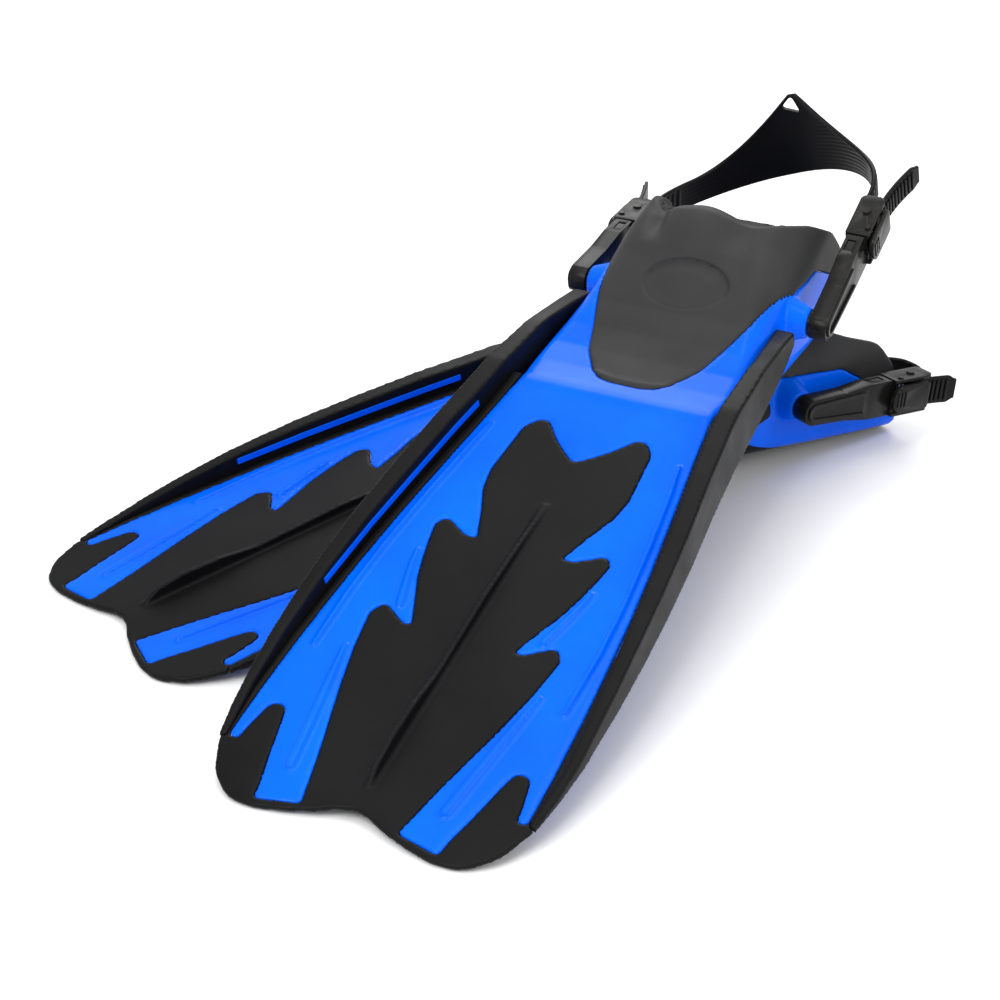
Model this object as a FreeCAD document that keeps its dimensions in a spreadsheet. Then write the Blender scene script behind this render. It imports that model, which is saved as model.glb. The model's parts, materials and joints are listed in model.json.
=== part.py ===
import FreeCAD, Part
import math
import os

# A pair of open-heel swim fins lying on the floor, one resting across the other.
# Each fin is drawn in its own frame: X across the blade, Y from the tip notch to the
# heel, Z up from the top face of the blade plate. The foot frame starts at the line
# where the foot pocket bends down from the blade; in it Y runs along the sole and Z up.
# The buckle frame turns about the axis of the two strap posts; in it Y runs along the
# clip arm towards the heel and Z across the strap's width.

Vector = FreeCAD.Vector
Placement = FreeCAD.Placement
Rotation = FreeCAD.Rotation

doc = FreeCAD.newDocument("SwimFins")
sheet = doc.addObject("Spreadsheet::Sheet", "Dimensions")

DIMENSIONS = {
    "plate_thickness": 3.5,
    "bend_position": 365.0,
    "bend_angle": 15.0,
    "rib_height": 2.6,
    "keel_thickness": 4.0,
    "inlay_thickness": 1.2,
    "footbed_thickness": 3.0,
    "tread_thickness": 2.5,
    "tread_groove_depth": 1.2,
    "tread_groove_count": 9,
    "tread_groove_pitch": 20.0,
    "post_position": 152.0,
    "post_height": 9.0,
    "post_radius": 4.5,
    "post_lip_radius": 5.2,
    "arm_inner": 86.0,
    "arm_thickness": 13.0,
    "arm_rib_height": 1.6,
    "bore_clearance": 0.1,
    "latch_width": 5.2,
    "frame_inner": 84.0,
    "frame_depth": 18.0,
    "frame_plate": 2.5,
    "frame_gap": 24.0,
    "roller_position": 102.0,
    "roller_across": 92.5,
    "roller_radius": 3.5,
    "roller_pin_radius": 1.5,
    "lever_position": 86.0,
    "lever_across": 98.5,
    "lever_pin_radius": 1.25,
    "lever_width": 21.0,
    "strap_thickness": 3.0,
    "strap_width": 22.0,
    "strap_wrap_radius": 5.4,
}


def fill_sheet():
    for row, (alias, value) in enumerate(DIMENSIONS.items(), start=1):
        sheet.set("A%d" % row, alias)
        sheet.set("B%d" % row, str(value))
        sheet.setAlias("B%d" % row, alias)
    doc.recompute()


fill_sheet()


def size(alias):
    return float(sheet.get(alias))


def bind(thing, prop, expression):
    """Ties a property to the sheet; words that name a cell are given their sheet."""
    for alias in sorted(DIMENSIONS, key=len, reverse=True):
        expression = expression.replace("{%s}" % alias, "Dimensions.%s" % alias)
    thing.setExpression(prop, expression)


# ---------------------------------------------------------------- outline helpers

def mirrored(right_half):
    """A closed outline from its right half, listed from the front to the back."""
    left = [(-x, y, r) for x, y, r in reversed(right_half) if abs(x) > 1e-6]
    return right_half + left


def corner_arc(before, corner, after, radius):
    """Start, middle and end of the arc that rounds a corner."""
    to_before = before - corner
    to_after = after - corner
    shortest = min(to_before.Length, to_after.Length)
    to_before.normalize()
    to_after.normalize()
    half = to_before.getAngle(to_after) / 2
    reach = min(radius / math.tan(half), 0.48 * shortest)
    radius = reach * math.tan(half)
    bisector = to_before + to_after
    bisector.normalize()
    centre = corner + bisector * (radius / math.sin(half))
    return corner + to_before * reach, centre - bisector * radius, corner + to_after * reach


def rounded_edges(points):
    """Straight sides joined by tangent arcs; a point is (x, y, corner radius)."""
    corners = [Vector(x, y, 0) for x, y, _ in points]
    count = len(points)
    arcs = [corner_arc(corners[i - 1], corners[i], corners[(i + 1) % count], points[i][2])
            for i in range(count)]
    edges = []
    for i, (start, middle, end) in enumerate(arcs):
        edges.append(Part.Arc(start, middle, end))
        following = arcs[(i + 1) % count][0]
        if (following - end).Length > 1e-4:
            edges.append(Part.LineSegment(end, following))
    return edges


ACROSS = Rotation(Vector(1, 1, 1), 120)
SIDE_VIEW = Placement(Vector(), ACROSS)
UPRIGHT = Rotation(Vector(1, 0, 0), 90)


def foot_local():
    """Where the foot frame sits in the fin frame."""
    return Placement(Vector(0, size("bend_position"), 0),
                     Rotation(Vector(1, 0, 0), -size("bend_angle")))


def outline(name, points, placement=Placement()):
    sketch = doc.addObject("Sketcher::SketchObject", name)
    sketch.Placement = placement
    sketch.addGeometry(rounded_edges(points), False)
    return sketch


def extruded(name, sketch, forward, backward=0.0):
    """A sketch extruded along its own normal; lengths are numbers or expressions."""
    solid = doc.addObject("Part::Extrusion", name)
    solid.Base = sketch
    solid.DirMode = "Normal"
    solid.Solid = True
    for prop, length in (("LengthFwd", forward), ("LengthRev", backward)):
        if isinstance(length, str):
            bind(solid, prop, length)
        else:
            setattr(solid, prop, length)
    return solid


def cut(name, base, tool):
    result = doc.addObject("Part::Cut", name)
    result.Base = base
    result.Tool = tool
    return result


def common(name, first, second):
    result = doc.addObject("Part::Common", name)
    result.Base = first
    result.Tool = second
    return result


def fuse(name, pieces):
    result = doc.addObject("Part::MultiFuse", name)
    result.Shapes = pieces
    return result


def rod(name, radius, start, length, direction=Vector(1, 0, 0), placement=Placement()):
    """A cylinder from a start point; the radius is a number or an expression."""
    cylinder = doc.addObject("Part::Cylinder", name)
    if isinstance(radius, str):
        bind(cylinder, "Radius", radius)
    else:
        cylinder.Radius = radius
    cylinder.Height = length
    turn = Rotation(Vector(0, 0, 1), direction)
    cylinder.Placement = placement.multiply(Placement(Vector(*start), turn))
    return cylinder


# ---------------------------------------------------------------- body helpers

def new_body(name, placement):
    body = doc.addObject("PartDesign::Body", name)
    body.Label = name
    body.Placement = placement
    return body


def body_sketch(body, name, plane, points_lists, offset=0.0):
    """A sketch on one of the body's own origin planes, moved along its normal."""
    sketch = body.newObject("Sketcher::SketchObject", name)
    origin_plane = [f for f in body.Origin.OriginFeatures if f.Role == plane][0]
    sketch.AttachmentSupport = [(origin_plane, "")]
    sketch.MapMode = "FlatFace"
    sketch.AttachmentOffset = Placement(Vector(0, 0, offset), Rotation())
    for points in points_lists:
        closed = rounded_edges(points) if isinstance(points, list) else points
        sketch.addGeometry(closed, False)
    return sketch


def pad(body, name, plane, points_lists, length, offset=0.0, flip=False):
    sketch = body_sketch(body, name + "_outline", plane, points_lists, offset)
    feature = body.newObject("PartDesign::Pad", name)
    feature.Profile = sketch
    feature.Reversed = flip
    if isinstance(length, str):
        bind(feature, "Length", length)
    else:
        feature.Length = length
    return feature


def pocket(body, name, plane, points_lists, length, offset=0.0, flip=False):
    """Removes a prism; the volume must fall, or the prism points away from the solid."""
    doc.recompute()
    before = body.Shape.Volume
    sketch = body_sketch(body, name + "_outline", plane, points_lists, offset)
    feature = body.newObject("PartDesign::Pocket", name)
    feature.Profile = sketch
    feature.Reversed = flip
    if isinstance(length, str):
        bind(feature, "Length", length)
    else:
        feature.Length = length
    doc.recompute()
    if body.Shape.Volume > before - 1e-3:
        feature.Reversed = not flip
        doc.recompute()
    assert body.Shape.Volume < before - 1e-3, name + " cuts nothing"
    return feature


def circle(centre, radius):
    return Part.Circle(Vector(*centre, 0), Vector(0, 0, 1), radius)


def box_points(x0, y0, x1, y1, radius=0.4):
    return [(x0, y0, radius), (x1, y0, radius), (x1, y1, radius), (x0, y1, radius)]


# ---------------------------------------------------------------- the blade

# Right half of the plate's edge, from the tip notch round the lobe to the foot.
PLATE_EDGE = [
    (0, -3, 6), (10, -5, 20), (22, -11, 30), (40, -17, 30), (58, -21, 30), (76, -20, 24),
    (92, -6, 30), (102, 16, 40), (107, 42, 60), (109.5, 70, 80), (110, 120, 120),
    (109, 160, 120), (107, 200, 120), (103, 250, 120), (97.5, 300, 120), (92.5, 345, 80),
    (90, 372, 10),
]
# Right half of the stiff blue ribs: along the rubber membrane, round the finger, out
# to the spike and back along the rail.
FRAME_EDGE = [
    (0, 300, 6), (10, 308.4, 12), (20, 318, 12), (35, 337, 9), (46, 323, 14), (49, 278, 30),
    (46, 260, 30), (38, 241, 20), (29.5, 217, 2.2), (38, 217.6, 8), (47, 223, 10),
    (56, 229, 4.5), (61, 221, 5), (58.5, 207, 30), (55, 192, 30), (50, 174, 30),
    (43, 157, 30), (34.6, 135.5, 2.2), (42, 136.5, 8), (49, 141.5, 10), (59, 148, 4.5),
    (64.5, 138, 6), (62.5, 124, 30), (60, 108, 40), (52, 73.5, 60), (46, 51, 60),
    (39.5, 26, 60), (31.3, -10, 3), (60, -16, 3), (61.5, -5, 20), (67, 15, 40),
    (72.5, 39, 20), (76.5, 53, 5), (86, 51, 6), (89.8, 32, 20), (91.5, 19.5, 3),
    (98, 21, 3.5), (97.8, 60, 60), (96.5, 100, 80), (94.5, 135, 80), (91.5, 178, 80),
    (87, 225, 80), (82, 267, 80), (77.5, 303, 80), (73.5, 336, 80), (71, 364, 10),
    (70.5, 374, 1),
]
RAIL_BAND = [
    (99, 20, 1), (103.5, 18, 1), (107.5, 42, 60), (110, 70, 80), (110.5, 120, 120),
    (109.5, 160, 120), (107.5, 200, 120), (103.5, 250, 120), (98, 300, 120), (93, 350, 80),
    (90, 400, 80), (87.5, 440, 80), (84, 486, 3), (70, 486, 1), (76, 430, 80), (77, 385, 80),
    (78, 360, 80), (81, 327, 80), (84.8, 300, 80), (90.5, 250, 80), (95.8, 200, 80),
    (99.6, 145, 80), (102, 100, 80), (102.5, 60, 60),
]
RAIL_PROFILE = [
    (18, 0.6, 0.5), (60, 4, 60), (100, 9, 80), (150, 13.5, 80), (200, 15.5, 80), (300, 17, 80),
    (365, 15, 60), (420, 5, 60), (465, -9, 20), (487, -17, 5), (487, -27, 5), (465, -30, 20),
    (420, -29, 60), (365, -25, 60), (300, -18, 80), (200, -12, 80), (100, -6.6, 80),
    (40, -4, 40), (18, -3.5, 0.5),
]
INLAY_BAND = [
    (80, 327, 60), (83.8, 300, 80), (89.5, 250, 80), (94.8, 200, 80), (98.6, 145, 60),
    (99.8, 145, 1), (96, 200, 80), (90.7, 250, 80), (85, 300, 80), (81.2, 327, 1),
]
KEEL_PROFILE = [
    (12, -1, 0.3), (12, 0.2, 0.3), (25, 7.5, 8), (45, 10, 20), (72, 9, 20), (100, 5, 40),
    (130, 5.5, 40), (168, 6.5, 40), (215, 4, 40), (259, 0.4, 0.3), (259, -1, 0.3),
]
FINGER_RIB = [
    (47.8, 10, 2.4), (52.8, 9, 2.4), (58.6, 50, 40), (63, 80, 40), (66.2, 108, 0.6),
    (64.6, 108, 0.6), (58.8, 80, 40), (53.6, 50, 40),
]
SMALL_RIB = [
    (46.6, 147, 1.9), (50.6, 145.6, 1.9), (55.2, 164, 20), (59.4, 182, 20), (61.2, 196, 0.5),
    (60, 196, 0.5), (56.4, 182, 20), (51.4, 164, 20),
]
EDGE_RIB = [
    (83, 100, 0.8), (85.4, 100, 0.8), (86.4, 150, 60), (84.4, 190, 60), (79.6, 243, 60),
    (73.8, 290, 60), (68.6, 318, 0.6), (67.2, 318, 0.6), (70.6, 290, 60), (76.4, 243, 60),
    (81.6, 190, 60), (83.4, 150, 60),
]


def flipped(points):
    """The same outline on the left half, still running the same way round."""
    return [(-x, y, r) for x, y, r in reversed(points)]


def build_rails(tag):
    rails = {}
    for side, turn in (("right", lambda points: points), ("left", flipped)):
        name = "%s_%s" % (tag, side)
        band = extruded(name + "_rail_band", outline(name + "_rail_plan", turn(RAIL_BAND)), 40, 60)
        profile_sketch = outline(name + "_rail_side", RAIL_PROFILE, SIDE_VIEW)
        profile = extruded(name + "_rail_height", profile_sketch, 130, 130)
        rails[side] = common(name + "_rail_whole", band, profile)
    return rails


def build_inlay(tag, side, rail):
    """A slim stripe on the inner wall of the rail."""
    turn = flipped if side == "left" else (lambda points: points)
    name = "%s_%s_inlay" % (tag, side)
    level = Placement(Vector(0, 0, 5.5), Rotation())
    stripe = extruded(name + "_band", outline(name + "_plan", turn(INLAY_BAND), level), 4.0)
    return cut(name, stripe, rail)


def build_ribs(tag):
    ribs = []
    for kind, points in (("finger", FINGER_RIB), ("small", SMALL_RIB), ("edge", EDGE_RIB)):
        for side, turn in (("right", lambda p: p), ("left", flipped)):
            name = "%s_%s_%s_rib" % (tag, side, kind)
            sketch = outline(name + "_plan", turn(points))
            ribs.append(extruded(name, sketch, "{rib_height}", 1.0))
    return ribs


# ---------------------------------------------------------------- the foot pocket

# Cross sections along the foot frame:
# (position, bottom half width, top half width, bottom, top, bottom radius, top radius)
OUTER_SECTIONS = [
    (0, 70, 69, -9, 1, 3, 3), (15, 72, 71, -18, 2, 5, 3), (30, 73, 72, -25, 3, 8, 4),
    (52, 74, 72, -30, 7, 10, 6), (75, 75, 71, -32, 13, 12, 10), (100, 75.5, 70, -32, 22, 12, 17),
    (123, 76, 68, -32, 34, 12, 24), (150, 76, 67, -32, 49, 12, 33), (180, 76, 66, -32, 62, 12, 40),
    (240, 75, 64, -32, 76, 12, 40), (300, 72, 62, -32, 88, 12, 40),
]
CAVITY_SECTIONS = [
    (32, 65, 62, -20, -3, 6, 5), (52, 67, 64, -24, 1, 7, 6), (75, 68, 64, -26, 8, 8, 7),
    (100, 69, 63, -26, 17, 8, 13), (123, 70, 62, -26, 29, 8, 20), (150, 70, 61, -26, 44, 8, 28),
    (180, 70, 60, -26, 57, 8, 35), (240, 69, 58, -26, 71, 8, 35), (305, 66, 56, -26, 84, 8, 35),
]
# Side view of what is taken away for the opening at the heel.
OPENING_PROFILE = [
    (150, 140, 1), (178, 64, 3), (215, 54, 30), (243, 40, 20), (261, 22, 16), (268, 0, 20),
    (271, -45, 2), (420, -60, 1), (420, 140, 1),
]
# The soft upper: everything above this line in side view and inside the toe's U in plan.
UPPER_PROFILE = [
    (10, -4, 1), (22, -3.5, 8), (60, 7, 30), (105, 19, 30), (145, 25, 30), (205, 25, 14),
    (240, 8, 20), (262, -14, 8), (320, -14, 1), (320, 150, 1), (10, 150, 1),
]
FOOTBED_PLAN = [
    (-50, 78, 22), (50, 78, 22), (57, 120, 60), (57, 262, 14), (-57, 262, 14), (-57, 120, 60),
]
UPPER_PLAN = [
    (22, 20.5, 26), (42, 52, 40), (58, 105, 60), (71, 165, 60), (82, 210, 40), (95, 330, 1),
    (-95, 330, 1), (-82, 210, 40), (-71, 165, 60), (-58, 105, 60), (-42, 52, 40),
    (-22, 20.5, 26),
]


def section_points(bottom_half, top_half, bottom, top, bottom_radius, top_radius):
    return [(-bottom_half, bottom, bottom_radius), (bottom_half, bottom, bottom_radius),
            (top_half, top, top_radius), (-top_half, top, top_radius)]


def lofted(name, sections):
    sketches = []
    for i, (position, *shape) in enumerate(sections):
        place = foot_local().multiply(Placement(Vector(0, position, 0), UPRIGHT))
        sketches.append(outline("%s_%d" % (name, i), section_points(*shape), place))
    loft = doc.addObject("Part::Loft", name)
    loft.Sections = sketches
    loft.Solid = True
    loft.Ruled = True
    return loft


def foot_side(name, points):
    """A prism across the whole foot, from a side view in the foot frame."""
    sketch = outline(name + "_side", points, foot_local().multiply(SIDE_VIEW))
    return extruded(name, sketch, 130, 130)


def foot_plan(name, points, low, high):
    """A prism up through the foot, from a plan in the foot frame."""
    sketch = outline(name + "_plan", points, foot_local())
    return extruded(name, sketch, high, -low)


def pressed(sections, depth):
    """The same sections with the instep pushed down, where the other fin lies on it."""
    lower = []
    for position, bottom_half, top_half, bottom, top, *radii in sections:
        share = max(0.0, min(1.0, (position - 100) / 80))
        lower.append((position, bottom_half, top_half, bottom, top - depth * share, *radii))
    return lower


def build_flare(tag, side, cavity, upper_zone):
    """The blunt cone on the pocket's wall that carries the strap post."""
    sign = 1 if side == "right" else -1
    name = "%s_%s_flare" % (tag, side)
    cone = doc.addObject("Part::Cone", name + "_cone")
    cone.Radius1 = 18.0
    cone.Radius2 = 10.5
    bind(cone, "Height", "{arm_inner} - 64.4 - 1.6")
    place = Placement(Vector(sign * 64.4, size("post_position"), size("post_height")),
                      Rotation(Vector(0, 0, 1), Vector(sign, 0, 0)))
    cone.Placement = foot_local().multiply(place)
    return cut(name, cut(name + "_open", cone, cavity), upper_zone)


def build_pocket(tag, press):
    outer = lofted(tag + "_pocket_outer", pressed(OUTER_SECTIONS, press))
    cavity = lofted(tag + "_pocket_cavity", pressed(CAVITY_SECTIONS, press))
    lowered = [(y, z - press if 50 < z < 70 else z, r) for y, z, r in OPENING_PROFILE]
    opening = foot_side(tag + "_pocket_opening", lowered)
    hollow = cut(tag + "_pocket_hollow", outer, cavity)
    shell = cut(tag + "_pocket_shell", hollow, opening)
    upper_side = foot_side(tag + "_upper_side", UPPER_PROFILE)
    upper_plan = foot_plan(tag + "_upper_region", UPPER_PLAN, -60, 150)
    upper_zone = common(tag + "_upper_zone", upper_side, upper_plan)
    upper = common(tag + "_upper_whole", shell, upper_zone)
    wall = cut(tag + "_pocket_wall", shell, upper_zone)
    flares = [build_flare(tag, side, cavity, upper_zone) for side in ("right", "left")]
    lower = fuse(tag + "_pocket_lower", [wall] + flares)
    level = foot_local().multiply(Placement(Vector(0, 0, CAVITY_SECTIONS[-1][3]), Rotation()))
    insole = outline(tag + "_insole", FOOTBED_PLAN, level)
    footbed = extruded(tag + "_footbed", insole, "{footbed_thickness}")
    return outer, upper, lower, footbed


def build_tread(tag, placement):
    """The grooved rubber pad under the sole."""
    bottom = OUTER_SECTIONS[-1][3]
    body = new_body(tag + "_sole_tread", placement)
    plan = [(-46, 66, 22), (46, 66, 22), (52, 150, 60), (50, 262, 18), (-50, 262, 18), (-52, 150, 60)]
    pad(body, tag + "_tread_pad", "XY_Plane", [plan], "{tread_thickness}", bottom, True)
    level = bottom - size("tread_thickness")
    groove = [box_points(-70, 80, 70, 84, 0.2)]
    first = pocket(body, tag + "_tread_groove", "XY_Plane", groove, "{tread_groove_depth}", level, True)
    pattern = body.newObject("PartDesign::LinearPattern", tag + "_tread_grooves")
    pattern.Originals = [first]
    y_axis = [f for f in body.Origin.OriginFeatures if f.Role == "Y_Axis"][0]
    pattern.Direction = (y_axis, [""])
    bind(pattern, "Occurrences", "{tread_groove_count}")
    bind(pattern, "Length", "{tread_groove_pitch} * ({tread_groove_count} - 1)")
    body.Tip = pattern
    return body


def build_post(tag, side, placement):
    """A stepped stud on the pocket's side that the clip arm turns on."""
    sign = 1 if side == "right" else -1
    name = "%s_%s_strap_post" % (tag, side)
    away = Vector(sign, 0, 0)
    y, z = size("post_position"), size("post_height")
    inner = size("arm_inner")
    local = foot_local()
    boss = rod(name + "_boss", 8.5, (sign * (inner - 1.6), y, z), 1.2, away, local)
    shaft = rod(name + "_shaft", "{post_radius}", (sign * (inner - 1), y, z), 10, away, local)
    lip = rod(name + "_lip", "{post_lip_radius}", (sign * (inner + 7.4), y, z), 1.6, away, local)
    return fuse(name, [boss, shaft, lip])


# ---------------------------------------------------------------- clips and buckles

def mirror_across(points, sign):
    """Plan outlines are drawn for the right buckle; the left one is its mirror image."""
    return points if sign > 0 else flipped(points)


def along_x(body, name, points, start, length, sign):
    """A pad from one distance off the fin's middle plane outwards."""
    pad(body, name, "YZ_Plane", [points], length, sign * start, sign < 0)


def build_arm(tag, side, placement):
    """Clip arm: a blind socket on the post at the front, a box for the latch at the rear."""
    sign = 1 if side == "right" else -1
    name = "%s_%s_clip_arm" % (tag, side)
    body = new_body(name, placement)
    inner = size("arm_inner")
    side_view = [(-10, -9.8, 9.4), (30, -10.8, 40), (55, -14, 8), (77.6, -14, 1.2),
                 (77.6, 14, 1.2), (55, 14, 8), (30, 10.8, 40), (-10, 9.8, 9.4)]
    along_x(body, name + "_bar", side_view, inner, "{arm_thickness}", sign)
    rim = [(-7, -6.6, 6.4), (50, -9.6, 1), (50, -7, 0.6), (-4.4, -4, 3.8),
           (-4.4, 4, 3.8), (50, 7, 0.6), (50, 9.6, 1), (-7, 6.6, 6.4)]
    outer = inner + size("arm_thickness")
    along_x(body, name + "_rib", rim, outer, "{arm_rib_height}", sign)
    into = sign > 0
    bore = circle((0, 0), size("post_radius") + size("bore_clearance"))
    pocket(body, name + "_bore", "YZ_Plane", [bore], 7, sign * inner, into)
    groove = circle((0, 0), size("post_lip_radius") + 0.3)
    pocket(body, name + "_groove", "YZ_Plane", [groove], 2.5, sign * (inner + 6.9), into)
    box = box_points(57, -11.6, 80, 11.6)
    pocket(body, name + "_latch_box", "YZ_Plane", [box], 8.6, sign * (inner + 2.2), into)
    window = mirror_across(box_points(88.5, 61, 94.5, 72.2), sign)
    pocket(body, name + "_windows", "XY_Plane", [window], 40, -20, True)
    return body


def build_latch(tag, side, end, placement):
    """One of the two springy prongs; its button fills the window of the clip arm."""
    sign = 1 if side == "right" else -1
    name = "%s_%s_latch_%s" % (tag, side, end)
    up = 1 if end == "top" else -1
    body = new_body(name, placement)
    points = [(61.3, 8.6, 0.4), (85, 8.6, 0.4), (85, 11.6, 0.4), (81.5, 11.6, 0.4),
              (81.5, 10.6, 0.3), (71.9, 10.6, 0.3), (71.3, 13.4, 0.5), (61.9, 13.4, 0.8)]
    points = [(y, up * z, r) for y, z, r in points[::up]]
    along_x(body, name + "_prong", points, 88.9, "{latch_width}", sign)
    return body


def build_frame(tag, side, placement):
    """Buckle frame: two plates that carry the roller and the lever, and a guide nose."""
    sign = 1 if side == "right" else -1
    name = "%s_%s_buckle_frame" % (tag, side)
    body = new_body(name, placement)
    inner = size("frame_inner")
    outer = inner + size("frame_depth")
    half_gap = size("frame_gap") / 2
    plate = [(inner, 78.2, 1), (outer, 78.2, 1.5), (outer, 118, 5), (inner, 118, 5)]
    roller_hole = circle((sign * size("roller_across"), size("roller_position")),
                         size("roller_pin_radius"))
    lever_hole = circle((sign * size("lever_across"), size("lever_position")),
                        size("lever_pin_radius"))
    plan = [mirror_across(plate, sign), roller_hole, lever_hole]
    front = [box_points(inner, 78.2, 88.4, 81), box_points(94.6, 78.2, 100, 81)]
    for i, pillar in enumerate(front):
        pad(body, "%s_pillar_%d" % (name, i), "XY_Plane", [mirror_across(pillar, sign)],
            "{frame_gap} + 1", -half_gap - 0.5)
    bridge = mirror_across(box_points(88, 78.2, 95, 81), sign)
    pad(body, name + "_bridge", "XY_Plane", [bridge], 15, -7.5)
    nose = mirror_across(box_points(89, 62, 96, 80, 1), sign)
    pad(body, name + "_nose", "XY_Plane", [nose], 11.2, -5.6)
    pad(body, name + "_top", "XY_Plane", plan, "{frame_plate}", half_gap)
    pad(body, name + "_bottom", "XY_Plane", plan, "{frame_plate}", -half_gap, True)
    return body


def build_lever(tag, side, placement):
    """Release lever: pressing its ribbed front end lifts the pawl off the strap."""
    sign = 1 if side == "right" else -1
    name = "%s_%s_release_lever" % (tag, side)
    body = new_body(name, placement)
    half = size("lever_width") / 2
    face = [(75, -half, 9), (112, -half, 2.5), (112, half, 2.5), (75, half, 9)]
    along_x(body, name + "_face", face, 102.5, 3.3, sign)
    for i, position in enumerate((79, 82.5, 86)):
        ridge = box_points(position, -6, position + 1.6, 6, 0.7)
        along_x(body, "%s_ridge_%d" % (name, i), ridge, 105.6, 0.9, sign)
    pivot = (size("lever_across"), size("lever_position"))
    reach = 103
    lug = [(pivot[0] - 3.2, 82.8, 3), (reach, 82.8, 0.5), (reach, 89.2, 0.5), (pivot[0] - 3.2, 89.2, 3)]
    bore = circle((sign * pivot[0], pivot[1]), size("lever_pin_radius") + size("bore_clearance") / 2)
    pad(body, name + "_lug", "XY_Plane", [mirror_across(lug, sign), bore], 12, -6)
    pawl = mirror_across(box_points(101.3, 104, 103, 108, 0.3), sign)
    pad(body, name + "_pawl", "XY_Plane", [pawl], 16, -8)
    return body


def build_roller(tag, side, placement):
    sign = 1 if side == "right" else -1
    name = "%s_%s_roller" % (tag, side)
    start = (sign * size("roller_across"), size("roller_position"), -11.7)
    tube = rod(name + "_tube", "{roller_radius}", start, 23.4, Vector(0, 0, 1))
    bore = rod(name + "_bore", "{roller_pin_radius} + {bore_clearance} / 2", start, 23.4, Vector(0, 0, 1))
    roller = cut(name, tube, bore)
    roller.Placement = placement
    return roller


def build_pins(tag, side_placements):
    """The four headed pins of the pair of buckles."""
    pins = []
    reach = size("frame_gap") / 2 + size("frame_plate")
    for side, placement in side_placements.items():
        sign = 1 if side == "right" else -1
        for kind, head in (("roller", 3.0), ("lever", 2.0)):
            place = (sign * size(kind + "_across"), size(kind + "_position"))
            name = "%s_%s_%s_pin" % (tag, side, kind)
            radius = "{%s_pin_radius}" % kind
            up = Vector(0, 0, 1)
            shank = rod(name + "_shank", radius, (*place, -reach), 2 * reach + 0.5, up, placement)
            cap = rod(name + "_head", head, (*place, reach), 1.1, up, placement)
            pins.append(fuse(name, [shank, cap]))
    return fuse(tag + "_buckle_pins", pins)


def build_springs(tag, side_placements):
    """The springs of the two levers: closed turns round the pin and two legs."""
    springs = []
    for side, placement in side_placements.items():
        sign = 1 if side == "right" else -1
        name = "%s_%s_lever_spring" % (tag, side)
        x, y = sign * size("lever_across"), size("lever_position")
        middle = (x, y, 7.0)
        outer = rod(name + "_coil", 2.55, middle, 3.2, Vector(0, 0, 1), placement)
        inner = rod(name + "_coil_hole", 1.65, middle, 3.2, Vector(0, 0, 1), placement)
        pieces = [cut(name + "_turns", outer, inner)]
        for i, (level, way, length) in enumerate(((9.6, sign, 2.9), (7.6, -sign, 6.5))):
            begin = (x + way * 0.3, y + 2.1, level)
            pieces.append(rod("%s_leg_%d" % (name, i), 0.4, begin, length, Vector(way, 0, 0), placement))
        springs.append(fuse(name, pieces))
    return fuse(tag + "_lever_springs", springs)


# ---------------------------------------------------------------- the heel strap

# The strap of a fin in use bows out behind the foot; that of the fin underneath is pushed
# forward into its pocket with the pull tab bent over, and is drawn in further.
BOWED = {"tail": 60.0, "tab_lean": 0.0}
PUSHED_IN = {"tail": 40.0, "tab_lean": 68.0}
LIMB_END = 125.0
LOOP_DEPTH = 67.0
FOLD = 8.0
TAB_HEIGHT = 53.0
TAB_HALF_WIDTH = 72.0
PUSHED_LOOP = [
    (87.1, 112), (85.5, 119), (80, 125.5), (72, 127.5), (64.5, 124), (60, 115), (57, 102),
    (52, 88), (44, 74), (32, 64), (16, 58.5), (0, 57),
]


def strap_route(form):
    """Plan of the strap's middle line, right tail to left tail, and where its loop starts."""
    across, along = size("roller_across"), size("roller_position")
    wrap = size("strap_wrap_radius")
    limb = across - wrap
    right = []
    for step in range(5):
        beyond = form["tail"] * (4 - step) / 4
        right.append((across + wrap + 12.5 * (beyond / 60) ** 2, along + beyond))
    for step in range(1, 9):
        turn = math.radians(22.5 * step)
        right.append((across + wrap * math.cos(turn), along - wrap * math.sin(turn)))
    if form is PUSHED_IN:
        loop = PUSHED_LOOP + [(-x, y) for x, y in reversed(PUSHED_LOOP[:-1])]
    else:
        right.append((limb, (along + LIMB_END) / 2))
        loop = []
        for step in range(33):
            turn = math.pi * step / 32
            loop.append((limb * math.cos(turn), LIMB_END + LOOP_DEPTH * math.sin(turn)))
    left = [(-x, y) for x, y in reversed(right)]
    return right + loop + left, len(right)


def strap_edges(x):
    """How far the strap reaches above and below its middle line at a place across."""
    half = size("strap_width") / 2
    rise = max(0.0, 1 - abs(x) / TAB_HALF_WIDTH)
    return half + TAB_HEIGHT * min(rise, 0.95) ** 1.7, -half - 2.0 * rise


def leaned(corner, lean):
    """Above the fold the band leans forward by an angle."""
    rest = corner.z - FOLD
    if rest <= 0:
        return corner
    angle = math.radians(lean)
    return Vector(corner.x, corner.y - rest * math.sin(angle), FOLD + rest * math.cos(angle))


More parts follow.
